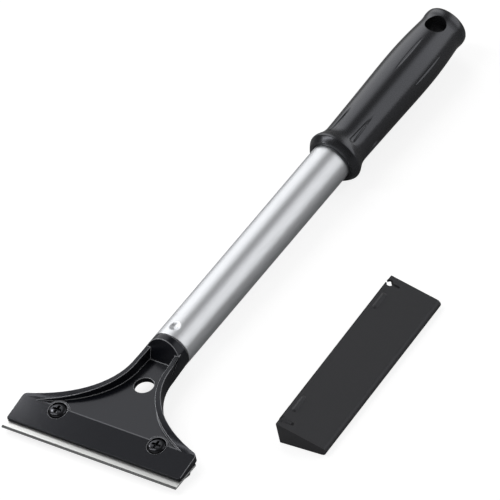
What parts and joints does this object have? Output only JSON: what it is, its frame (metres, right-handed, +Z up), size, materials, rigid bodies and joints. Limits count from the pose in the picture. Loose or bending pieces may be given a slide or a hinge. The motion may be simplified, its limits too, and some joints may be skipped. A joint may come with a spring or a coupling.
{
  "type": "griddle scraper",
  "caption": "Long-handled griddle scraper: a flared cast head clamps a wide replaceable steel blade, on an aluminium tube with a moulded grip; a wedge-shaped blade cover lies beside it.",
  "frame": {"origin": "under the middle of the bounding box of the scraper and its cover, on the surface that both lie on", "axes": "+Y along the handle from the blade towards the grip's butt, +X from the handle towards the cover, +Z up"},
  "size_m": [0.1506, 0.3046, 0.0277],
  "materials": {
    "black_casting": "satin black enamel over a casting",
    "blade_steel": "bright rolled steel with a ground edge",
    "black_plate": "satin black enamel",
    "black_screw": "black oxide, slightly glossy",
    "satin_aluminium": "satin anodised",
    "black_grip": "satin moulded",
    "charcoal_cover": "flat moulded"
  },
  "bodies": {
    "tool": {"head_casting": "black_casting", "clamp_plate": "black_plate", "handle_tube": "satin_aluminium", "grip": "black_grip"},
    "blade": {"blade": "blade_steel"},
    "screw_left": {"clamp_screw_left": "black_screw"},
    "screw_right": {"clamp_screw_right": "black_screw"},
    "cover": {"blade_cover": "charcoal_cover"}
  },
  "joints": [
    {"name": "blade_slide", "type": "slide", "parent": "tool", "child": "blade", "axis": [0, -0.9997, -0.0256], "range_m": [0, 0.0205]},
    {"name": "left_screw_turn", "type": "hinge", "parent": "tool", "child": "screw_left", "pos_m": [-0.05367, -0.13543, 0.00695], "axis": [0, -0.0256, 0.9997], "range_deg": [0, 720]},
    {"name": "right_screw_turn", "type": "hinge", "parent": "tool", "child": "screw_right", "pos_m": [0.00313, -0.13543, 0.00695], "axis": [0, -0.0256, 0.9997], "range_deg": [0, 720]},
    {"name": "cover_lift", "type": "slide", "parent": "tool", "child": "cover", "axis": [0, 0, 1], "range_m": [0, 0.07]}
  ]
}
